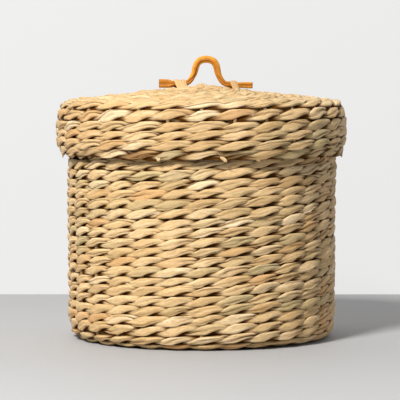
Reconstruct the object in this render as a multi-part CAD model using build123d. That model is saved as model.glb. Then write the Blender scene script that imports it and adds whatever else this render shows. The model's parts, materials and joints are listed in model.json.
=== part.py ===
from build123d import *
import os
from math import atan2, cos, degrees, radians, sin, tan

# A round basket twined from seagrass, with a lift-off lid and a rolled-leather loop.
# Millimetres, +Z up. The origin is the centre of the base's underside, and -Y is the front.
# Each turn of twining is a closed hoop that stands for its two strands, with the stakes held inside it.

# Basket: its wall leans out a little from the base to the rim.
body_radius_low = 110.4
body_radius_rim = 112.4
wall_thickness = 7.5
corner_radius = 12.0
rim_top = 187.8
rim_thickness = 6.2
rim_height = 7.2
rim_section_radius = 3.0
round_pitch = 7.6
round_gap = 0.2
section_radius = 2.0
wall_rounds = 22
corner_rounds = 2
base_rounds = 11
knot_radius = 11.2

# Stakes: half of them reach the centre, and the other half are added between them.
stake_count = 28
stake_radius = 1.5
long_stake_start = 11.8
added_stake_start = 32.0
stake_top = 180.6

# Lid: an upright skirt, a rounded shoulder and a low cone.
lid_radius = 120.0
lid_bottom = 149.6
lid_shoulder_radius = 12.0
lid_shoulder_z = 184.5
lid_cone_slope = 6.3
lid_border_height = 8.2
lid_border_radius = 114.9
lid_border_thickness = 4.6
lid_border_section_radius = 2.2
skirt_rounds = 3
skirt_pitch = 7.3
shoulder_height = 9.8
lid_top_rounds = 13

# Leather: a rolled cord threaded through the lid on one straight line, with a loop in the middle.
cord_radius = 2.3
cord_groove_radius = 3.3
handle_x = 3.5
handle_z = 208.1
handle_drop = 1.2
loop_top = 24.1
loop_radius = 9.3
loop_leg_lean = 9.0
loop_foot_radius = 6.0
loop_steps = 6
left_tail_start = -27.5
left_tail_end = -38.7
left_tail_room = 4.1
right_tail_start = 27.0
right_tail_end = 38.8
right_tail_room = 3.3
tail_end_room = 1.0
least_cut = 1.0

# Keeper strands: two strands of the lid that pass over the cord.
keeper_places = (-22.5, 22.0)
keeper_half_width = 2.2
keeper_half_thickness = 1.2
keeper_depth = 2.9

half_thickness = wall_thickness / 2
wall_lean = degrees(atan2(body_radius_rim - body_radius_low, rim_top))


def upright(shape):
    """Stands a shape drawn as (radius, height) up in the XZ plane."""
    return Plane.XZ * shape


def basket_midline(start_radius=0.0, top=stake_top):
    """The middle of the basket's thickness: along the base, round the corner and up the wall."""
    bend_radius = corner_radius - half_thickness
    bend_start = body_radius_low - corner_radius
    base = Line((start_radius, half_thickness), (bend_start, half_thickness))
    corner = JernArc(start=base @ 1, tangent=(1, 0), radius=bend_radius, arc_size=90 - wall_lean)
    rise = top - (corner @ 1).Y
    wall = Line(corner @ 1, corner @ 1 + Vector(rise * tan(radians(wall_lean)), rise))
    return Wire([base, corner, wall])


def lid_midline(end_radius=0.0):
    """The middle of the lid's thickness: up the skirt, over the shoulder and in along the cone."""
    bend_radius = lid_shoulder_radius - half_thickness
    start_z = lid_bottom + lid_border_height
    skirt = Line((lid_radius - half_thickness, start_z), (lid_radius - half_thickness, lid_shoulder_z))
    shoulder = JernArc(start=skirt @ 1, tangent=(0, 1), radius=bend_radius, arc_size=90 - lid_cone_slope)
    run = (shoulder @ 1).X - end_radius
    cone = Line(shoulder @ 1, shoulder @ 1 + Vector(-run, run * tan(radians(lid_cone_slope))))
    return Wire([skirt, shoulder, cone])


def turned(section):
    """The ring swept by a section drawn as (radius, height)."""
    return revolve(upright(section), axis=Axis.Z)


def hoop(midline, distance, height):
    """One turn of twining, centred at a distance along the midline, with its edges square to it."""
    corners = []
    for step, sides in ((-1, (-1, 1)), (1, (1, -1))):
        place = distance + step * (height - round_gap) / 2
        point = midline.position_at(place, position_mode=PositionMode.LENGTH)
        along = midline.tangent_at(place, position_mode=PositionMode.LENGTH)
        across = Vector(-along.Y, along.X)
        corners += [point + across * (side * half_thickness) for side in sides]
    outline = make_face(Polyline(*corners, close=True))
    return turned(fillet(outline.vertices(), section_radius))


def border(radius, middle_z, height, thickness, corner):
    """An edge where the stakes are turned down and bound."""
    return turned(Pos(radius, middle_z) * RectangleRounded(thickness, height, corner))


def rods(make_midline):
    """A stake along the midline at each place round the turn: a long one, then an added one, in turn."""
    made = []
    for number in range(stake_count):
        path = upright(make_midline(added_stake_start if number % 2 else long_stake_start))
        start = Plane(origin=path @ 0, z_dir=path % 0)
        made.append(Rot(Z=number * 360 / stake_count) * sweep(start * Circle(stake_radius), path=path))
    return Compound(children=made)


def knot(underside, slope=0.0):
    """The start of the weave at the centre: a disc as thick as the weave, with a softened edge."""
    drop = knot_radius * tan(radians(slope))
    top = underside + wall_thickness
    outline = Polyline(
        (0, underside), (knot_radius, underside - drop), (knot_radius, top - drop), (0, top), close=True
    )
    face = make_face(outline)
    edge = face.vertices().group_by(Axis.X)[-1]
    return turned(fillet(edge, section_radius))


def leather_frame(shape):
    """Moves a shape from the cord's own frame, with X along its threaded line, to its place on the lid."""
    return Pos(handle_x, 0, handle_z) * Rot(Y=handle_drop) * shape


def loop_half(side):
    """Points down one side of the loop, from its top to the end of its foot on the threaded line."""
    middle = loop_top - cord_radius - loop_radius
    points = []
    for step in range(loop_steps):
        angle = radians(90 - (90 + loop_leg_lean) * step / (loop_steps - 1))
        points.append((side * loop_radius * cos(angle), middle + loop_radius * sin(angle)))
    lean = radians(loop_leg_lean)
    leg_end_z = loop_foot_radius * (1 - sin(lean))
    leg_end_x = abs(points[-1][0]) + (points[-1][1] - leg_end_z) * tan(lean)
    foot_x = leg_end_x + loop_foot_radius * cos(lean)
    for step in range(loop_steps):
        angle = lean + (radians(90) - lean) * step / (loop_steps - 1)
        x = foot_x - loop_foot_radius * cos(angle)
        points.append((side * x, loop_foot_radius * (1 - sin(angle))))
    return points


def leather():
    """The whole leather as one bent cord: an end, the loop and the other end."""
    left = loop_half(-1)
    right = loop_half(1)
    for side, end in ((left, left_tail_end), (right, right_tail_end)):
        foot = side[-1][0]
        side += [(foot + (end - foot) * step / loop_steps, 0) for step in range(1, loop_steps + 1)]
    path = upright(Spline(*left[:0:-1], *right, tangents=[(1, 0), (1, 0)]))
    cord = sweep(Plane(origin=path @ 0, z_dir=path % 0) * Circle(cord_radius), path=path)
    return leather_frame(cord)


def leather_room():
    """The room that the turning cord and its ends need in the top of the lid."""
    stretches = (
        (left_tail_end - tail_end_room, left_tail_start, left_tail_room),
        (left_tail_start, right_tail_start, cord_groove_radius),
        (right_tail_start, right_tail_end + tail_end_room, right_tail_room),
    )
    room = None
    for first, last, radius in stretches:
        piece = Pos((first + last) / 2, 0, 0) * Rot(Y=90) * Cylinder(radius, last - first)
        room = piece if room is None else room + piece
    return leather_frame(room)


def clear_of(shape, room):
    """The shape with the cord's room cut out, or the shape itself where the room is out of reach."""
    left = shape - room
    return left if left.volume < shape.volume - least_cut else shape


def keepers():
    """The strands over the cord: half rings about the cord, with their feet in the weave."""
    ring_radius = cord_groove_radius + keeper_half_thickness
    made = []
    for place in keeper_places:
        section = Pos(place, ring_radius) * Ellipse(keeper_half_width, keeper_half_thickness)
        ring = revolve(section, axis=Axis.X)
        size = 4 * ring_radius
        above = Pos(place, 0, size / 2 - keeper_depth) * Box(size, size, size)
        made.append(leather_frame(ring & above))
    return made


def basket_pieces():
    """Every piece of the basket, by name."""
    midline = basket_midline()
    made = {"base_start_knot": knot(0.0)}
    rim_middle = rim_top - rim_height / 2
    first_wall = midline.length - (stake_top - (rim_middle - wall_rounds * round_pitch))
    base_edge = first_wall - (corner_rounds + 0.5) * round_pitch
    base_pitch = (base_edge - knot_radius - round_gap) / base_rounds
    for number in range(1, base_rounds + 1):
        distance = base_edge - (base_rounds - number + 0.5) * base_pitch
        made[f"base_round_{number:02d}"] = hoop(midline, distance, base_pitch)
    for number in range(1, corner_rounds + 1):
        distance = first_wall - (corner_rounds + 1 - number) * round_pitch
        made[f"corner_round_{number:02d}"] = hoop(midline, distance, round_pitch)
    for number in range(1, wall_rounds + 1):
        distance = first_wall + (number - 1) * round_pitch
        made[f"wall_round_{number:02d}"] = hoop(midline, distance, round_pitch)
    rim_radius = body_radius_rim - half_thickness
    made["rim_border"] = border(rim_radius, rim_middle, rim_height, rim_thickness, rim_section_radius)
    made["stakes"] = rods(basket_midline)
    return made


def lid_pieces():
    """Every piece of the lid, by name."""
    midline = lid_midline()
    cord_room = leather_room()
    border_middle = lid_bottom + lid_border_height / 2
    border_height = lid_border_height - round_gap
    made = {
        "lid_rim_border": border(
            lid_border_radius, border_middle, border_height, lid_border_thickness, lid_border_section_radius
        )
    }
    for number in range(1, skirt_rounds + 1):
        made[f"lid_skirt_round_{number:02d}"] = hoop(midline, (number - 0.5) * skirt_pitch, skirt_pitch)
    shoulder_start = skirt_rounds * skirt_pitch
    made["lid_shoulder_round"] = hoop(midline, shoulder_start + shoulder_height / 2, shoulder_height)
    top_start = shoulder_start + shoulder_height
    top_pitch = (midline.length - top_start - knot_radius - round_gap) / lid_top_rounds
    for number in range(1, lid_top_rounds + 1):
        top_round = hoop(midline, top_start + (number - 0.5) * top_pitch, top_pitch)
        made[f"lid_top_round_{number:02d}"] = clear_of(top_round, cord_room)
    peak = (midline @ 1).Y
    made["lid_centre_knot"] = clear_of(knot(peak - half_thickness, lid_cone_slope), cord_room)
    made["lid_stakes"] = rods(lid_midline)
    made["keeper_strands"] = Compound(children=keepers())
    return made


pieces = {**basket_pieces(), **lid_pieces(), "leather_loop": leather()}

os.makedirs("parts", exist_ok=True)
for name, piece in pieces.items():
    export_step(piece, f"parts/{name}.step")
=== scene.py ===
import json
import math

import bpy
import numpy as np
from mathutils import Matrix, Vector


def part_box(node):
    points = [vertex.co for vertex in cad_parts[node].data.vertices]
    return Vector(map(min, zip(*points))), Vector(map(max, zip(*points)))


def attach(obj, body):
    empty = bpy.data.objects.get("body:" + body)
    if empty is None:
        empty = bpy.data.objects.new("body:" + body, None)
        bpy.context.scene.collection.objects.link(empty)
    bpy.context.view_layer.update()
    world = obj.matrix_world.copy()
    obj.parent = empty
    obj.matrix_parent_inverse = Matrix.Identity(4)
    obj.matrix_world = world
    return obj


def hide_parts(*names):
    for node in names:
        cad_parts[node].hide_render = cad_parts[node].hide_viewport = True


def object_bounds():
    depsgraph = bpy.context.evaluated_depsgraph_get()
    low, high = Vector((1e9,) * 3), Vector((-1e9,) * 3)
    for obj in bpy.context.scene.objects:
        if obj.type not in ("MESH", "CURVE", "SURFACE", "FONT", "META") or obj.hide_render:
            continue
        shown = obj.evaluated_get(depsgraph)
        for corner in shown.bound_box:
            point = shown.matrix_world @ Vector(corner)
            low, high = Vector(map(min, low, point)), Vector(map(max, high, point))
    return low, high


# A lidded basket twined from seagrass, with a rolled-leather loop. Everything is in metres.
# Each turn of weave is two flattened strands that wind round each other between the stakes.
# A row number counts the turns of a part from its start, and may lie between two turns.

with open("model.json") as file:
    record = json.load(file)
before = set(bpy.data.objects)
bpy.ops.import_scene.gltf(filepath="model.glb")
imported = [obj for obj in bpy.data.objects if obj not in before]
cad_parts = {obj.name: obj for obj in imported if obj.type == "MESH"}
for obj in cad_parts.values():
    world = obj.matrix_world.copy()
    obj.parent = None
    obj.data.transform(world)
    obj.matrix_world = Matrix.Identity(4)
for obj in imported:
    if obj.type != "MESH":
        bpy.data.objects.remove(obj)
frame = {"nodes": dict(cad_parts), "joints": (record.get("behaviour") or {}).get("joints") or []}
cad_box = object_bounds()

MM = 0.001
UP = np.array([0, 0, 1.0])
CIRCLE = 2 * math.pi
random = np.random.default_rng(7)

# Stakes: half of them start in the middle, and the others are added at the inner radius.
STAKES = 28
INNER_STAKES = 14
INNER_RADIUS = 34 * MM
STALK_RADIUS = 1.5 * MM

# A strand's measures. Heights are shares of its row's pitch.
STRAND_STEP = 1.05 * MM  # between two rings of its points
SECTION_POINTS = 26  # in each ring
SEAM_OVERLAP = 1.2 * MM  # how far the two ends of a turn reach past each other
TALL_FRONT = 0.515  # its half height where it passes a stake
TALL_PINCH = 0.205  # what it loses of that where it crosses its twin
CROSSING_CLIMB = 0.25  # how far it is above or below the row's middle where it crosses its twin
FRONT_LAG = 0.4  # how far past the stake it is furthest out, in radians of its twist
GROOVE_DEPTH = 0.38  # the share of its thickness that its deepest grooves take away
SIDE_ROUNDNESS = 0.85  # 1 for an oval section, less for a squarer one
FACE_ROUNDNESS = 0.62

# How much a strand differs from one half twist to the next.
SIZE_SPREAD = 0.07
SWELL_SPREAD = 0.28 * MM
RISE_SPREAD = 0.03
LEAN_SPREAD = 0.13
TONE_SPREAD = 0.5
GREEN_SPREAD = 0.35

# How the rows run.
EXTRA_ROWS = 3  # added past each end of a part, so that its curve goes on
STEP_SHARE = 0.05  # the share of a level turn in which it steps half its climb, at each end
BASKET_LEVELLING = 5  # the number of rows over which the basket's spiral turns into level rows
LID_LEVELLING = 4
NECK_DEPTH = 1.5 * MM  # how far the wall is drawn in under the lid

# The leather.
CORD_ROOM = 3.0 * MM  # the radius of the room that it turns in
LEATHER_STEP = 0.45 * MM  # between two rings of its points
LEATHER_POINTS = 44  # in each ring

tilt = next(joint for joint in frame["joints"] if joint["name"] == "handle_tilt")
cord_place = np.array(tilt["pos_m"])
cord_axis = np.array(tilt["axis"])
cord_axis /= np.linalg.norm(cord_axis)
leather_low, leather_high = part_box("leather_loop")
cord_reach = (leather_high.x - leather_low.x) / 2 + 1.5 * MM


# ---------------------------------------------------------------- places, read from the frame

def ring_middle(node):
    """The middle (radius, height) of a ring-shaped CAD node."""
    vertices = frame["nodes"][node].data.vertices
    points = np.zeros(len(vertices) * 3)
    vertices.foreach_get("co", points)
    points = points.reshape(-1, 3)
    radii = np.hypot(points[:, 0], points[:, 1])
    return (radii.min() + radii.max()) / 2, (points[:, 2].min() + points[:, 2].max()) / 2


def numbered(prefix):
    """The CAD nodes whose names start with a prefix, in order."""
    return sorted(name for name in frame["nodes"] if name.startswith(prefix))


class Rows:
    """A stack of weave rows: smooth places between the middles of the CAD hoops."""

    def __init__(self, nodes):
        self.nodes = nodes
        middles = np.array([ring_middle(node) for node in nodes])
        before = [middles[0] + k * (middles[0] - middles[1]) for k in range(EXTRA_ROWS, 0, -1)]
        after = [middles[-1] + k * (middles[-1] - middles[-2]) for k in range(1, EXTRA_ROWS + 1)]
        self.points = np.vstack([before, middles, after])

    def draw_in(self, height, depth):
        """Pulls the rows above a height inwards, as a neck for the lid."""
        run = 6 * MM
        share = smooth_step((self.points[:, 1] - height) / run + 0.5)
        self.points[:, 0] -= depth * share

    def at(self, row):
        """The middle (radius, height) of the weave at a row number, on a smooth curve through the rows."""
        place = np.clip(np.asarray(row, float) + EXTRA_ROWS, 1.0, len(self.points) - 2.001)
        low = np.floor(place).astype(int)
        t = (place - low)[..., None]
        a, b, c, d = (self.points[np.clip(low + k, 0, len(self.points) - 1)] for k in (-1, 0, 1, 2))
        bend = 2 * a - 5 * b + 4 * c - d
        twist = 3 * b - 3 * c + d - a
        return 0.5 * (2 * b + (c - a) * t + bend * t**2 + twist * t**3)

    def frame_at(self, row):
        """(middle, direction towards the next row, outward direction, pitch) at a row number."""
        step = 0.02
        along = self.at(np.asarray(row) + step) - self.at(np.asarray(row) - step)
        pitch = np.linalg.norm(along, axis=-1, keepdims=True) / (2 * step)
        along = along / (2 * step * pitch)
        outward = np.stack([along[..., 1], -along[..., 0]], -1)
        return self.at(row), along, outward, pitch[..., 0]


# ---------------------------------------------------------------- meshes

def new_mesh(name, points, faces, attributes, material):
    """A smooth mesh object of quads, with named values on its points: floats, or vectors of three."""
    mesh = bpy.data.meshes.new(name)
    mesh.vertices.add(len(points))
    mesh.vertices.foreach_set("co", np.asarray(points, np.float32).ravel())
    faces = np.asarray(faces, np.int32)
    mesh.loops.add(faces.size)
    mesh.loops.foreach_set("vertex_index", faces.ravel())
    mesh.polygons.add(len(faces))
    mesh.polygons.foreach_set("loop_start", np.arange(0, faces.size, 4, dtype=np.int32))
    mesh.polygons.foreach_set("loop_total", np.full(len(faces), 4, np.int32))
    mesh.polygons.foreach_set("use_smooth", np.full(len(faces), True))
    mesh.update(calc_edges=True)
    mesh.validate()
    for label, values in attributes.items():
        values = np.asarray(values, np.float32)
        kind = "FLOAT_VECTOR" if values.ndim == 2 else "FLOAT"
        attribute = mesh.attributes.new(label, kind, "POINT")
        attribute.data.foreach_set("vector" if values.ndim == 2 else "value", values.ravel())
    mesh.materials.append(material)
    piece = bpy.data.objects.new(name, mesh)
    bpy.context.scene.collection.objects.link(piece)
    return piece


def tube_faces(count, around):
    """Quads of a closed tube with a number of rings, and the same number of points in each ring."""
    ring = np.arange(around)
    along = np.arange(count - 1)[:, None] * around
    a = along + ring
    b = along + (ring + 1) % around
    quads = np.stack([a, b, b + around, a + around], -1).reshape(-1, 4)
    half = around // 2
    caps = []
    for start, turn in ((0, 1), ((count - 1) * around, -1)):
        for k in range(half - 1):
            cap = [start + k, start + around - 1 - k, start + around - 2 - k, start + k + 1]
            caps.append(cap[::turn])
    return np.vstack([quads, np.array(caps)])


def drifting(x, spacing, spread):
    """A smooth random curve over x, which takes a new random value after each spacing."""
    place = (x - x.min()) / spacing
    low = np.floor(place).astype(int)
    values = random.normal(0, spread, low.max() + 2)
    part = smooth_step(place - low)
    return values[low] * (1 - part) + values[low + 1] * part


def smooth_step(x):
    """A smooth rise from 0 to 1 as x goes from 0 to 1."""
    x = np.clip(x, 0, 1)
    return x * x * (3 - 2 * x)


def squared(wave, power):
    """A sine or cosine flattened towards a box, so that a section gets broad faces."""
    return np.sign(wave) * np.abs(wave) ** power


def round_axis(flat, angle):
    """Places (radius, height) turned to their angles round the object's axis."""
    return np.stack([flat[:, 0] * np.cos(angle), flat[:, 0] * np.sin(angle), flat[:, 1]], -1)


def ring_frames(path, out):
    """(steps along a path, side directions, outward directions), each square to the path."""
    towards = np.gradient(path, axis=0)
    step = np.linalg.norm(towards, axis=1)
    towards /= step[:, None]
    out = out - towards * np.sum(out * towards, 1, keepdims=True)
    out /= np.linalg.norm(out, axis=1, keepdims=True)
    return step, np.cross(towards, out), out


def rings(path, side, out, ring_side, ring_out):
    """Rings of points round a path, from their distances sideways and outwards."""
    return path[:, None] + side[:, None] * ring_side[..., None] + out[:, None] * ring_out[..., None]


def pulled_straight(travelled, ring_side, ring_out):
    """Where each point would be, in millimetres, if its strand were pulled straight."""
    flow = random.random() * 9
    length = np.broadcast_to((travelled / MM)[:, None] + flow * 40, ring_side.shape)
    return np.stack([length, ring_side / MM + flow, ring_out / MM], -1).reshape(-1, 3)


# ---------------------------------------------------------------- twined strands

class Weave:
    """How a part is twined: its rows, how many of them a turn climbs, and its strands' depths."""

    def __init__(self, rows, starts, half_depth=1.5 * MM, swing=1.7 * MM):
        self.rows = rows
        self.starts = starts
        self.half_depth = half_depth
        self.swing = swing


def pair_path(weave, row, climb, stakes):
    """(calm, angles, phases, row numbers) along one turn of a pair. It is calm, 0, where turns meet."""
    turn_length = CIRCLE * weave.rows.at(row)[0]
    count = max(int(turn_length / STRAND_STEP), stakes * 9)
    seam = math.pi / 2 + (math.pi / stakes if stakes == STAKES else 0)
    overlap = SEAM_OVERLAP / turn_length
    share = np.linspace(-overlap, 1 + overlap, count)
    angle = seam + CIRCLE * share
    calm = smooth_step((np.minimum(share, 1 - share) - overlap) * stakes)
    shift = random.normal(0, 0.12)
    shift = shift + drifting(share, 1.0 / stakes, 0.2) + drifting(share, 5.0 / stakes, 0.15)
    phase = angle * stakes / 2 + shift * calm
    climbing = weave.starts * (share - 0.5)
    first_step = smooth_step(share / STEP_SHARE)
    last_step = smooth_step((share - (1 - STEP_SHARE)) / STEP_SHARE)
    level = weave.starts / 2 * (last_step - 1 + first_step)
    return calm, angle, phase, row + climb * climbing + (1 - climb) * level


def per_segment(phase, spread):
    """A random number for each half turn of a strand's twist, blended where the strand is hidden."""
    position = phase / math.pi + 0.3
    position = position - math.floor(position.min())
    low = np.floor(position).astype(int)
    values = random.normal(0, spread, low.max() + 2)
    edge = smooth_step((position - low - 0.85) / 0.15)
    return values[low] * (1 - edge) + values[low + 1] * edge


def strand(weave, calm, angle, phase, place, wobble, bulk):
    """One strand of a pair: its rings of points, and their named values. It is calm where turns meet."""
    middle, along, outward, pitch = weave.rows.frame_at(place + wobble[0])
    climb = np.sin(phase)
    size = 1 + per_segment(phase, SIZE_SPREAD) * calm
    tall = TALL_FRONT - TALL_PINCH * np.abs(climb) ** 1.15
    half_height = bulk * pitch * tall * size
    half_depth = bulk * weave.half_depth * (TALL_FRONT / tall) ** 0.6 * (0.5 + 0.5 * size)
    swell = per_segment(phase, SWELL_SPREAD) * calm
    reach = weave.swing * np.cos(phase - FRONT_LAG) + swell * np.cos(phase) + wobble[1]
    rise = pitch * (CROSSING_CLIMB * climb + per_segment(phase, RISE_SPREAD) * calm)
    centre = round_axis(middle + outward * reach[:, None] + along * rise[:, None], angle)
    step, side, out = ring_frames(centre, round_axis(outward, angle))
    travelled = np.concatenate([[0], np.cumsum(step[1:])])
    around = np.linspace(0, CIRCLE, SECTION_POINTS, endpoint=False)
    folds, grooves = creases(travelled, around)
    folds *= calm[:, None]
    grooves *= calm[:, None]
    lean = per_segment(phase, LEAN_SPREAD) * calm - 0.08 * np.cos(phase)
    depth = 1 + folds - GROOVE_DEPTH * grooves
    ring_side = half_height[:, None] * squared(np.sin(around), SIDE_ROUNDNESS) * (1 + 0.4 * folds)
    ring_out = half_depth[:, None] * squared(np.cos(around), FACE_ROUNDNESS) * depth
    turned_side = ring_side * np.cos(lean)[:, None] + ring_out * np.sin(lean)[:, None]
    turned_out = ring_out * np.cos(lean)[:, None] - ring_side * np.sin(lean)[:, None]
    points = rings(centre, side, out, turned_side, turned_out)
    offset = np.abs(reach[:, None] + turned_out)
    values = strand_values(phase, calm, travelled, offset, grooves)
    values["strand"] = pulled_straight(travelled, ring_side, ring_out)
    return points.reshape(-1, 3), values


def strand_values(phase, calm, travelled, offset, grooves):
    """How pale and how green a strand is at each of its points, and how much painted shade it gets deep in
    the weave and in its grooves.
    """
    # Painted shade: points near the middle of the weave's depth, where strands pass behind each other, and
    # points in the grooves are darkened.
    all_shade = 0.35 * MM
    shade_run = 1.75 * MM
    hidden = 1 - smooth_step((offset - all_shade) / shade_run)
    crevice_shade = np.clip(hidden + 0.75 * grooves, 0, 1)
    tone = (drifting(travelled, 60 * MM, 0.7) + per_segment(phase, TONE_SPREAD)) * calm
    green = (drifting(travelled, 75 * MM, 0.9) + per_segment(phase, GREEN_SPREAD)) * calm
    return {
        "tone": np.repeat(tone, SECTION_POINTS),
        "green": np.repeat(green, SECTION_POINTS),
        "crevice_shade": crevice_shade.ravel(),
    }


def creases(travelled, around):
    """Lengthwise folds of a blade of grass, and its deeper grooves, round and along the strand."""
    length = travelled / MM
    twist = CIRCLE * length / random.uniform(90, 170)
    fold = twist + 0.5 * np.sin(length / random.uniform(11, 19)) + random.random() * 6.3
    folds = 0.15 * (np.abs(np.sin(1.5 * (around[None, :] - fold[:, None]))) - 0.64)
    for lobes, strength in ((4, 0.03), (7, 0.03)):
        swell = 0.5 + 0.5 * np.sin(length / random.uniform(7, 15) + random.random() * 6.3)
        drift = twist * random.uniform(0.2, 0.5) + random.random() * 6.3
        folds += strength * swell[:, None] * np.cos(lobes * around[None, :] - drift[:, None])
    grooves = np.zeros_like(folds)
    for face in (0, 0, math.pi, math.pi):
        place = face + drifting(travelled, 24 * MM, 0.55)
        strength = np.clip(drifting(travelled, 19 * MM, 0.8) + 0.25, 0, 1)
        away = np.angle(np.exp(1j * (around[None, :] - place[:, None])))
        grooves += strength[:, None] * np.exp(-(away / 0.17) ** 2)
    return folds, np.clip(grooves, 0, 1)


def twined_strands(weave, row, climb, stakes, bulk=1.0):
    """Both strands of one turn of weave, each as (points, faces, named values)."""
    calm, angle, phase, place = pair_path(weave, row, climb, stakes)
    wobble = (drifting(angle, 0.44, 0.05) * calm, drifting(angle, 0.69, 0.22 * MM) * calm)
    made = []
    for ply in (0, 1):
        points, values = strand(weave, calm, angle, phase + ply * math.pi, place, wobble, bulk)
        made.append((points, tube_faces(len(angle), SECTION_POINTS), values))
    return made


def joined(name, parts, material):
    """One mesh from several (points, faces, values) parts."""
    points = []
    faces = []
    values = {}
    first = 0
    for part_points, part_faces, part_values in parts:
        points.append(part_points)
        faces.append(part_faces + first)
        first += len(part_points)
        for label, data in part_values.items():
            values.setdefault(label, []).append(data)
    values = {label: np.concatenate(data) for label, data in values.items()}
    return new_mesh(name, np.vstack(points), np.vstack(faces), values, material)


def blade(path, out, half_width, half_thickness, tone, tip=0.35, round_points=14):
    """A single blade of grass along a path, narrowed at both ends: points, faces and named values."""
    step, side, out = ring_frames(path, out)
    share = np.linspace(0, 1, len(path))
    narrow = tip + (1 - tip) * smooth_step(np.minimum(share, 1 - share) * 5)
    around = np.linspace(0, CIRCLE, round_points, endpoint=False)
    ridges = 1 + 0.10 * np.cos(3 * around + random.random() * 6.3) + 0.05 * np.cos(5 * around)
    ring_side = (half_width * narrow)[:, None] * squared(np.sin(around), 0.85) * ridges
    ring_out = (half_thickness * (0.5 + 0.5 * narrow))[:, None] * squared(np.cos(around), 0.8) * ridges
    points = rings(path, side, out, ring_side, ring_out).reshape(-1, 3)
    values = {
        "strand": pulled_straight(np.cumsum(step), ring_side, ring_out),
        "tone": np.full(len(points), tone),
        "green": np.full(len(points), random.normal(0, 0.4)),
        "crevice_shade": np.zeros(len(points)),
    }
    return points, tube_faces(len(path), round_points), values


# ---------------------------------------------------------------- materials

def node_material(name):
    """(a new material, its node tree, its shader)."""
    material = bpy.data.materials.new(name)
    material.use_nodes = True
    return material, material.node_tree, material.node_tree.nodes["Principled BSDF"]


def ramp(tree, source, stops):
    """A colour ramp fed by a socket."""
    node = tree.nodes.new("ShaderNodeValToRGB")
    tree.links.new(source, node.inputs[0])
    elements = node.color_ramp.elements
    while len(elements) < len(stops):
        elements.new(0.5)
    for element, (place, colour) in zip(elements, stops):
        element.position = place
        element.color = (*colour, 1)
    return node.outputs[0]


def maths(tree, operation, first, second):
    """A maths node on sockets or numbers."""
    node = tree.nodes.new("ShaderNodeMath")
    node.operation = operation
    for place, value in enumerate((first, second)):
        if isinstance(value, (int, float)):
            node.inputs[place].default_value = value
        else:
            tree.links.new(value, node.inputs[place])
    return node.outputs[0]


def excess(tree, first, second, gain):
    """How far the first value is above the second, times a gain, or 0 where it is below."""
    above = maths(tree, "MAXIMUM", maths(tree, "SUBTRACT", first, second), 0.0)
    return maths(tree, "MULTIPLY", above, gain)


def mixed(tree, factor, first, second):
    """A mix of two colours or colour sockets. Inputs 6 and 7 of the node are its colours."""
    node = tree.nodes.new("ShaderNodeMix")
    node.data_type = "RGBA"
    for socket, value in ((node.inputs[0], factor), (node.inputs[6], first), (node.inputs[7], second)):
        if isinstance(value, (int, float)):
            socket.default_value = value
        elif isinstance(value, tuple):
            socket.default_value = (*value, 1)
        else:
            tree.links.new(value, socket)
    return node.outputs[2]


def tinted(tree, base, share, most, colour):
    """A base colour turned towards another by a share, which is kept at or below a limit."""
    return mixed(tree, maths(tree, "MINIMUM", share, most), base, colour)


def value_of(tree, label, output="Fac"):
    """A named value on the mesh."""
    node = tree.nodes.new("ShaderNodeAttribute")
    node.attribute_name = label
    return node.outputs[output]


def noise(tree, vector, scale, detail, roughness, stretch=None):
    """A noise value over a vector, stretched where asked."""
    if stretch:
        shaped = tree.nodes.new("ShaderNodeVectorMath")
        shaped.operation = "MULTIPLY"
        tree.links.new(vector, shaped.inputs[0])
        shaped.inputs[1].default_value = stretch
        vector = shaped.outputs[0]
    node = tree.nodes.new("ShaderNodeTexNoise")
    node.inputs["Scale"].default_value = scale
    node.inputs["Detail"].default_value = detail
    node.inputs["Roughness"].default_value = roughness
    tree.links.new(vector, node.inputs["Vector"])
    return node.outputs[0]


def bumped(tree, shader, height, distance, strength):
    """A bump on a shader, from a height socket."""
    node = tree.nodes.new("ShaderNodeBump")
    node.inputs["Strength"].default_value = strength
    node.inputs["Distance"].default_value = distance
    tree.links.new(height, node.inputs["Height"])
    tree.links.new(node.outputs[0], shader.inputs["Normal"])


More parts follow.
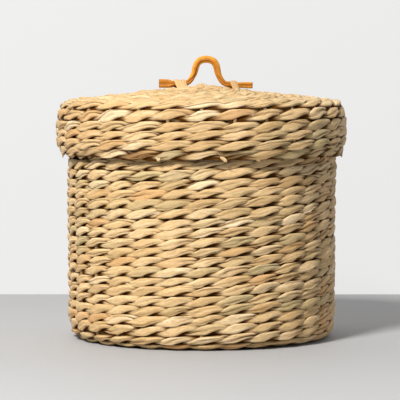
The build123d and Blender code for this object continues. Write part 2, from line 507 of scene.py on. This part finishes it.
def seagrass_material(name, stake_tint_and_shade):
    """Dried seagrass: straw blades with fine lengthwise fibres, some stretches greener, some browner, with
    painted shade where strands lie deep in the weave and in their grooves; the stakes' version is mixed
    towards a dark brown that is partly painted shade.
    """
    green_blade = (0.47, 0.40, 0.20)
    rusty_blade = (0.66, 0.33, 0.115)
    stain = (0.36, 0.18, 0.055)
    dark_fibre = (0.34, 0.175, 0.06)
    # A dark brown for the stakes: partly their own colour, partly painted shade for the crevices they show
    # in.
    stake_brown_and_shade = (0.24, 0.115, 0.035)
    # The colour of the painted shade deep in the weave and in the grooves.
    deep_shade = (0.085, 0.030, 0.004)
    material, tree, shader = node_material(name)
    strand_place = value_of(tree, "strand", "Vector")
    tone = value_of(tree, "tone")
    green = value_of(tree, "green")
    crevice_shade = value_of(tree, "crevice_shade")
    fibres = noise(tree, strand_place, 1.0, 4.0, 0.65, (0.05, 2.8, 2.8))
    threads = noise(tree, strand_place, 1.0, 2.0, 0.5, (0.035, 4.6, 4.6))
    blades = noise(tree, strand_place, 1.0, 2.0, 0.5, (0.025, 0.6, 0.6))
    spots = noise(tree, strand_place, 1.0, 3.0, 0.6, (0.22, 0.8, 0.8))
    shade = maths(tree, "MULTIPLY", tone, 0.07)
    shade = maths(tree, "ADD", shade, maths(tree, "MULTIPLY", fibres, 0.75))
    shade = maths(tree, "ADD", shade, maths(tree, "MULTIPLY", blades, 0.38))
    straw = ramp(tree, shade, (
        (0.22, (0.40, 0.215, 0.072)),
        (0.45, (0.60, 0.385, 0.165)),
        (0.62, (0.76, 0.535, 0.27)),
        (0.84, (0.93, 0.77, 0.53)),
    ))
    greener = excess(tree, green, 0.35, 0.42)
    browner = excess(tree, -0.6, green, 0.34)
    coloured = tinted(tree, straw, greener, 0.6, green_blade)
    coloured = tinted(tree, coloured, browner, 0.55, rusty_blade)
    coloured = tinted(tree, coloured, excess(tree, spots, 0.58, 2.4), 0.5, stain)
    coloured = tinted(tree, coloured, excess(tree, threads, 0.54, 5.5), 0.6, dark_fibre)
    # Painted shade: the stakes are mixed towards a dark brown, which is partly their own colour and partly
    # stands in for the shade deep in the weave where they show.
    coloured = mixed(tree, stake_tint_and_shade, coloured, stake_brown_and_shade)
    # Painted shade: points deep in the weave and in the grooves are mixed towards deep_shade.
    coloured = mixed(tree, crevice_shade, coloured, deep_shade)
    tree.links.new(coloured, shader.inputs["Base Color"])
    rough = maths(tree, "ADD", maths(tree, "MULTIPLY", fibres, 0.25), 0.42)
    tree.links.new(rough, shader.inputs["Roughness"])
    gloss = maths(tree, "SUBTRACT", 0.3, maths(tree, "MULTIPLY", crevice_shade, 0.3))
    tree.links.new(gloss, shader.inputs["Specular IOR Level"])
    height = maths(tree, "ADD", fibres, maths(tree, "MULTIPLY", blades, 0.6))
    height = maths(tree, "ADD", height, maths(tree, "MULTIPLY", threads, 0.5))
    bumped(tree, shader, height, 0.5 * MM, 1.0)
    return material


def leather_material():
    """Rolled tan leather: golden with pores, browner beside its seam, darker at its cut ends, and with
    painted shade in its seam's groove.
    """
    material, tree, shader = node_material("tan_leather")
    place = tree.nodes.new("ShaderNodeTexCoord").outputs["Object"]
    pores = noise(tree, place, 1900.0, 4.0, 0.6)
    clouds = noise(tree, place, 240.0, 3.0, 0.6)
    tone = maths(tree, "ADD", maths(tree, "MULTIPLY", clouds, 0.65), maths(tree, "MULTIPLY", pores, 0.25))
    outer = ramp(tree, tone, (
        (0.25, (0.47, 0.19, 0.016)),
        (0.45, (0.66, 0.30, 0.034)),
        (0.68, (0.80, 0.42, 0.07)),
    ))
    inner = ramp(tree, tone, (
        (0.25, (0.33, 0.115, 0.008)),
        (0.45, (0.50, 0.19, 0.018)),
        (0.68, (0.62, 0.27, 0.035)),
    ))
    beside_seam = maths(tree, "SUBTRACT", value_of(tree, "seam_side"), 0.36)
    beside_seam = maths(tree, "MINIMUM", maths(tree, "MULTIPLY", beside_seam, 8.0), 1.0)
    beside_seam = maths(tree, "MAXIMUM", beside_seam, 0.0)
    hide = mixed(tree, beside_seam, outer, inner)
    # Painted shade in the seam's groove; the cut ends are darker leather.
    hide = mixed(tree, value_of(tree, "cut_end_and_groove_shade"), hide, (0.20, 0.065, 0.008))
    tree.links.new(hide, shader.inputs["Base Color"])
    shader.inputs["Roughness"].default_value = 0.55
    shader.inputs["Specular IOR Level"].default_value = 0.22
    bumped(tree, shader, maths(tree, "ADD", pores, clouds), 0.3 * MM, 0.8)
    return material


def stage_material(name, colour, glow):
    """A plain surface of the stage. Its back is see-through, so that it hides nothing from behind."""
    material, tree, shader = node_material(name)
    shader.inputs["Base Color"].default_value = (*colour, 1)
    shader.inputs["Roughness"].default_value = 0.7
    shader.inputs["Emission Color"].default_value = (1, 1, 1, 1)
    shader.inputs["Emission Strength"].default_value = glow
    facing = tree.nodes.new("ShaderNodeNewGeometry").outputs["Backfacing"]
    clear = tree.nodes.new("ShaderNodeBsdfTransparent")
    mix = tree.nodes.new("ShaderNodeMixShader")
    tree.links.new(facing, mix.inputs[0])
    tree.links.new(shader.outputs[0], mix.inputs[1])
    tree.links.new(clear.outputs[0], mix.inputs[2])
    tree.links.new(mix.outputs[0], tree.nodes["Material Output"].inputs["Surface"])
    return material


# ---------------------------------------------------------------- the pieces

seagrass = seagrass_material("seagrass", 0.0)
# The stakes' material is brown, darkened further as painted shade for the crevices they show in.
stalk = seagrass_material("stalk", 0.75)
leather = leather_material()


def finish_piece(piece, body, node):
    """Puts a piece on its body, in place of its CAD node."""
    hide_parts(node)
    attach(piece, body)


def stakes_at(rows, row):
    """How many stakes a row passes: the added ones start at the inner radius."""
    return STAKES if rows.at(row)[0] > INNER_RADIUS else INNER_STAKES


def basket_weave():
    """The basket's rounds: level in the base's middle and at the rim, and a double spiral between."""
    nodes = numbered("base_round_") + numbered("corner_round_") + numbered("wall_round_")
    rows = Rows(nodes + ["rim_border"])
    neck_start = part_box("lid_rim_border")[0].z - 4 * MM
    rows.draw_in(neck_start, NECK_DEPTH)
    weave = Weave(rows, 2)
    last = len(nodes) - 1
    base_count = len(numbered("base_round_"))
    for row, node in enumerate(nodes):
        below_rim = max(0.0, (last - row) / BASKET_LEVELLING)
        off_middle = max(0.0, (row - base_count + BASKET_LEVELLING) / BASKET_LEVELLING)
        climb = min(1.0, below_rim, off_middle)
        made = twined_strands(weave, row, climb, stakes_at(rows, row))
        finish_piece(joined(node + "_weave", made, seagrass), "basket", node)
    return rows


def pressed_by_cord(points):
    """Moves points of the lid's top down, out of the room that the leather turns in."""
    deepest = 12 * MM
    along = (points - cord_place) @ cord_axis
    axis_height = cord_place[2] + along * cord_axis[2]
    share = np.clip(1 - (points[:, 1] / CORD_ROOM) ** 2, 0, 1)
    top = axis_height - CORD_ROOM * np.sqrt(share)
    under = (share > 0) & (np.abs(along) < cord_reach) & (points[:, 2] > cord_place[2] - deepest)
    points[under, 2] = np.minimum(points[under, 2], top[under])


def lid_weave():
    """The lid's rounds: a spiral from its level lower edge up over the shoulder and in to the middle."""
    nodes = numbered("lid_skirt_round_") + ["lid_shoulder_round"] + numbered("lid_top_round_")
    rows = Rows(["lid_rim_border"] + nodes)
    weave = Weave(rows, 1)
    for row, node in enumerate(nodes, 1):
        climb = min(1.0, (row - 0.5) / LID_LEVELLING)
        made = twined_strands(weave, row, climb, stakes_at(rows, row))
        for points, _, _ in made:
            pressed_by_cord(points)
        finish_piece(joined(node + "_weave", made, seagrass), "lid", node)
    return rows


def borders(basket_rows, lid_rows):
    """The twisted borders at the basket's rim and at the lid's lower edge."""
    rim_row = len(basket_rows.nodes) - 1
    rim = Weave(basket_rows, 2, 1.35 * MM, 1.2 * MM)
    made = twined_strands(rim, rim_row, 0.0, STAKES * 2, 0.93)
    finish_piece(joined("rim_border_weave", made, seagrass), "basket", "rim_border")
    edge = Weave(lid_rows, 1, 1.1 * MM, 0.9 * MM)
    made = twined_strands(edge, 0.07, 0.0, STAKES, 0.93)
    made += lid_edge_ends(lid_rows)
    finish_piece(joined("lid_rim_border_weave", made, seagrass), "lid", "lid_rim_border")


def lid_edge_ends(rows):
    """The short ends of strands that hang down at the lid's lower edge, between some of the stakes."""
    radius, height = rows.at(0)
    made = []
    for turn in range(STAKES):
        hidden = random.random() > 0.22
        if hidden:
            continue
        angle = (turn + random.uniform(0.3, 0.7)) * CIRCLE / STAKES
        out = np.array([math.cos(angle), math.sin(angle), 0.0])
        sideways = np.array([-out[1], out[0], 0.0])
        length = random.uniform(3.5, 5) * MM
        down = np.linspace(0, 1, 12)[:, None]
        start = out * (radius + 0.3 * MM) + UP * (height - 0.5 * MM)
        path = start - UP * length * down + sideways * random.uniform(2, 6) * MM * down
        half_width = random.uniform(1.2, 2.0) * MM
        made.append(blade(path, out, half_width, 0.7 * MM, random.normal(0, 1)))
    return made


def stalks(name, node, body, rows, ends, press=None):
    """The stakes: thin round stalks through the middle of the weave, a long and an added one in turn."""
    made = []
    for number in range(STAKES):
        first, last = ends[number % 2]
        angle = number * CIRCLE / STAKES
        flat = rows.at(np.linspace(first, last, 150))
        sway = drifting(flat[:, 1] + flat[:, 0], 30 * MM, 0.35 * MM)
        out = np.array([math.cos(angle), math.sin(angle), 0.0])
        side = np.array([-out[1], out[0], 0.0])
        path = flat[:, :1] * out + flat[:, 1:] * UP + sway[:, None] * side
        part = blade(path, side, STALK_RADIUS, STALK_RADIUS, random.normal(0, 0.6), 0.8, 10)
        if press:
            press(part[0])
        made.append(part)
    finish_piece(joined(name, made, stalk), body, node)


def row_near(rows, radius, lowest, highest):
    """The row number, between a lowest and a highest one, whose middle is nearest to a radius."""
    places = np.linspace(lowest, highest, 400)
    return places[np.argmin(np.abs(rows.at(places)[:, 0] - radius))]


def all_stalks(basket_rows, lid_rows):
    """The stakes of the basket and of the lid. Every second one starts just inside the inner radius."""
    added_radius = INNER_RADIUS - 2 * MM
    centre = -0.4
    top = len(basket_rows.nodes) - 1.6
    added = row_near(basket_rows, added_radius, 0, len(numbered("base_round_")))
    stalks("stakes_stalks", "stakes", "basket", basket_rows, ((centre, top), (added, top)))
    centre = len(lid_rows.nodes) - 0.6
    edge = 0.6
    first_top_row = lid_rows.nodes.index("lid_top_round_01")
    added = row_near(lid_rows, added_radius, first_top_row, centre)
    ends = ((centre, edge), (added, edge))
    stalks("lid_stakes_stalks", "lid_stakes", "lid", lid_rows, ends, pressed_by_cord)


def knot(name, node, body, rows, row, upward, press=None):
    """The start of a weave: a ring of tight twining round the crossing of the first blades."""
    ring = Weave(rows, 0, 1.6 * MM, 1.5 * MM)
    made = twined_strands(ring, row, 0.0, 8, 0.95)
    middle = rows.at(row)[1] + upward * 0.3 * MM
    half = rows.at(row)[0] * 0.75
    spread = np.linspace(-half, half, 20)[:, None]
    for turn, lift in ((0.3, 1.8), (1.9, -1.8), (1.1, 1.0), (2.7, -1.0), (2.4, 2.2)):
        direction = np.array([math.cos(turn), math.sin(turn), 0.0])
        crown = 2.3 * MM if upward > 0 and lift > 0 else 0.5 * MM
        bow = (1 - (spread / half) ** 2) * UP * crown * np.sign(lift)
        path = direction * spread + UP * (middle + lift * MM) + bow
        made.append(blade(path, UP, 2.7 * MM, 1.1 * MM, random.normal(0, 1), 0.6))
    if press:
        for points, _, _ in made:
            press(points)
    finish_piece(joined(name, made, seagrass), body, node)


def keepers():
    """The strands of the lid that pass over the leather: two at its left end and one at its right."""
    low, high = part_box("keeper_strands")
    left = low.x + 2.2 * MM
    right = high.x - 2.2 * MM
    reach = 10.5 * MM
    crest = 2.85 * MM
    fall = 7.8 * MM
    made = []
    for place, slant in ((left - 1.8 * MM, -0.45), (left + 2.6 * MM, -0.32), (right, -0.38)):
        middle_z = cord_place[2] + (place - cord_place[0]) * cord_axis[2] / cord_axis[0]
        y = np.linspace(-reach, reach, 60)
        mound = crest - fall * smooth_step(np.abs(y) / reach)
        path = np.stack([place + slant * y, y, middle_z + mound], -1)
        made.append(blade(path, UP, 2.9 * MM, 0.8 * MM, random.uniform(-1.6, -0.4), 0.75, 20))
    finish_piece(joined("keeper_strands_blades", made, seagrass), "lid", "keeper_strands")


# ---------------------------------------------------------------- the leather

def cut_corners(path):
    """The path with each corner cut off, which makes it smoother. Its ends stay."""
    near = 0.75 * path[:-1] + 0.25 * path[1:]
    far = 0.25 * path[:-1] + 0.75 * path[1:]
    inside = np.stack([near, far], 1).reshape(-1, path.shape[1])
    return np.vstack([path[:1], inside, path[-1:]])


def leather_middle():
    """The leather's middle as (distance along the threaded line, height above it), and its radius."""
    radius = (leather_high.y - leather_low.y) / 2
    left_end = (leather_low.x - cord_place[0]) / cord_axis[0]
    right_end = (leather_high.x - cord_place[0]) / cord_axis[0]
    top = leather_high.z - cord_place[2] - radius - 1.3 * MM
    right = top * np.array([
        (0.13, 1.0), (0.34, 0.90), (0.43, 0.66), (0.46, 0.48), (0.53, 0.32), (0.66, 0.10), (0.85, 0.0)])
    left = right[::-1] * (-1, 1)
    path = np.vstack([[(left_end, 0)], left, right, [(right_end, 0)]])
    for _ in range(5):
        path = cut_corners(path)
    gaps = np.concatenate([[0], np.cumsum(np.linalg.norm(np.diff(path, axis=0), axis=1))])
    even = np.arange(0, gaps[-1], LEATHER_STEP)
    return np.stack([np.interp(even, gaps, path[:, k]) for k in (0, 1)], -1), radius


def leather_surface(flat, radius, travelled, around):
    """Heights and widths of the leather's rings, and how far each point is turned from the seam."""
    x = flat[:, 0]
    left_open = smooth_step((-x - 27 * MM) / (4.5 * MM))
    right_open = smooth_step((x - 28.0 * MM) / (4 * MM))
    in_loop = smooth_step((flat[:, 1] - 2 * MM) / (6 * MM))
    seam = -math.pi / 2 - (math.pi / 2 - 0.85) * in_loop + drifting(travelled, 20 * MM, 0.10)
    away = np.angle(np.exp(1j * (around[None, :] - seam[:, None])))
    lumps = np.zeros((len(flat), len(around)))
    for lobes in (2, 3, 5):
        lumps += 0.022 * np.cos(lobes * around[None, :] + drifting(travelled, 12 * MM, 1.6)[:, None])
    held = np.exp(-((x + 23 * MM) / (4.6 * MM)) ** 4) + np.exp(-((x - 22 * MM) / (3.2 * MM)) ** 4)
    girth = radius * (0.97 - 0.22 * held + drifting(travelled, 9 * MM, 0.02))
    size = girth[:, None] * (1 - 0.38 * seam_groove(away) + lumps)
    tall = 1 + 0.56 * left_open + 0.14 * right_open + 0.32 * smooth_step(flat[:, 1] / flat[:, 1].max())
    thick = 1 - 0.34 * left_open - 0.14 * right_open
    boxy = 1 - 0.35 * np.maximum(left_open, right_open)
    up = size * tall[:, None] * squared(np.cos(around), boxy[:, None])
    across = size * thick[:, None] * squared(np.sin(around), boxy[:, None])
    return up, across, away


def seam_groove(away):
    """How deep in the seam's groove a point lies, from how far it is turned from the seam."""
    return np.exp(-(away / 0.24) ** 2)


def leather_loop():
    """A strip of leather rolled into a cord, with its seam inside the loop and its ends opened out."""
    flat, radius = leather_middle()
    travelled = np.arange(len(flat)) * LEATHER_STEP
    around = np.linspace(0, CIRCLE, LEATHER_POINTS, endpoint=False)
    up, across, away = leather_surface(flat, radius, travelled, around)
    to_end = np.minimum(travelled, travelled[-1] - travelled)
    trim = np.where(to_end < 0.1 * MM, 0.90, 1.0)[:, None]
    sway = drifting(travelled, 22 * MM, 0.25 * MM)[:, None]
    towards = np.gradient(flat, axis=0)
    towards /= np.linalg.norm(towards, axis=1, keepdims=True)
    above = np.stack([-towards[:, 1], towards[:, 0]], -1)
    local_x = flat[:, :1] + above[:, :1] * up * trim
    local_z = flat[:, 1:] + above[:, 1:] * up * trim
    direction = np.array([cord_axis[0], 0, cord_axis[2]])
    rise = np.array([-cord_axis[2], 0, cord_axis[0]])
    points = cord_place + local_x[..., None] * direction + local_z[..., None] * rise
    points[..., 1] += across * trim + sway
    # Painted shade in the seam's groove, and darker leather at the cut ends.
    cut_end_and_groove_shade = np.maximum(0.45 * seam_groove(away), np.where(to_end < 0.5 * MM, 0.6, 0.0)[:, None])
    values = {"cut_end_and_groove_shade": np.clip(cut_end_and_groove_shade, 0, 1).ravel(), "seam_side": np.cos(away).ravel()}
    part = (points.reshape(-1, 3), tube_faces(len(flat), LEATHER_POINTS), values)
    finish_piece(joined("leather_loop_hide", [part], leather), "handle", "leather_loop")


# ---------------------------------------------------------------- setting

def area_light(name, place, target, size, power, colour):
    """A soft box lamp aimed at a point."""
    lamp = bpy.data.lights.new(name, "AREA")
    lamp.shape = "RECTANGLE"
    lamp.size, lamp.size_y = size
    lamp.energy = power
    lamp.color = colour
    holder = bpy.data.objects.new(name, lamp)
    holder.location = place
    holder.rotation_euler = (Vector(target) - Vector(place)).to_track_quat("-Z", "Y").to_euler()
    bpy.context.scene.collection.objects.link(holder)


def plane(name, corners, material):
    """A flat stage surface."""
    mesh = bpy.data.meshes.new(name)
    mesh.from_pydata(corners, [], [(0, 1, 2, 3)])
    mesh.materials.append(material)
    surface = bpy.data.objects.new(name, mesh)
    bpy.context.scene.collection.objects.link(surface)


def studio():
    """A pale floor and backdrop, a key light from the upper left, and weak light from elsewhere."""
    floor_z = cad_box[0].z
    wide = 4
    back = 0.344
    floor = stage_material("floor", (0.39, 0.39, 0.395), 0.0)
    wall = stage_material("backdrop", (0.10, 0.10, 0.10), 0.69)
    near = [(-wide, -wide, floor_z), (wide, -wide, floor_z)]
    plane("floor", near + [(wide, wide, floor_z), (-wide, wide, floor_z)], floor)
    foot = [(-wide, back, floor_z), (wide, back, floor_z)]
    plane("backdrop", foot + [(wide, back, wide), (-wide, back, wide)], wall)
    middle = (0, 0, (cad_box[1].z - floor_z) / 2)
    area_light("key", (-0.74, -1.38, 1.50), middle, (0.40, 0.40), 65, (1.0, 0.985, 0.955))
    area_light("fill", (1.6, -1.4, 0.6), middle, (1.2, 1.2), 2.0, (0.97, 0.98, 1.0))
    area_light("top", (-0.2, 0.1, 1.6), middle, (1.0, 0.8), 0.8, (1.0, 1.0, 1.0))
    world = bpy.data.worlds.new("studio")
    world.use_nodes = True
    background = world.node_tree.nodes["Background"]
    background.inputs["Color"].default_value = (0.95, 0.97, 1.0, 1)
    background.inputs["Strength"].default_value = 0.19
    bpy.context.scene.world = world


def camera():
    """A long lens in front of the basket, a little above the lid and aimed slightly down."""
    view = bpy.data.cameras.new("camera")
    view.lens = 202.5
    view.sensor_width = 36
    view.clip_end = 50
    holder = bpy.data.objects.new("camera", view)
    holder.location = (-0.0014, -1.856, 0.22)
    holder.rotation_euler = (math.radians(90 - 3.31), 0, 0)
    bpy.context.scene.collection.objects.link(holder)
    bpy.context.scene.camera = holder
    bpy.context.scene.view_settings.view_transform = "Standard"


basket_rows = basket_weave()
lid_rows = lid_weave()
borders(basket_rows, lid_rows)
all_stalks(basket_rows, lid_rows)
base_start = -0.97
lid_centre = len(lid_rows.nodes) - 0.03
knot("base_start_knot_weave", "base_start_knot", "basket", basket_rows, base_start, -1)
knot("lid_centre_knot_weave", "lid_centre_knot", "lid", lid_rows, lid_centre, 1, pressed_by_cord)
keepers()
leather_loop()
studio()
camera()
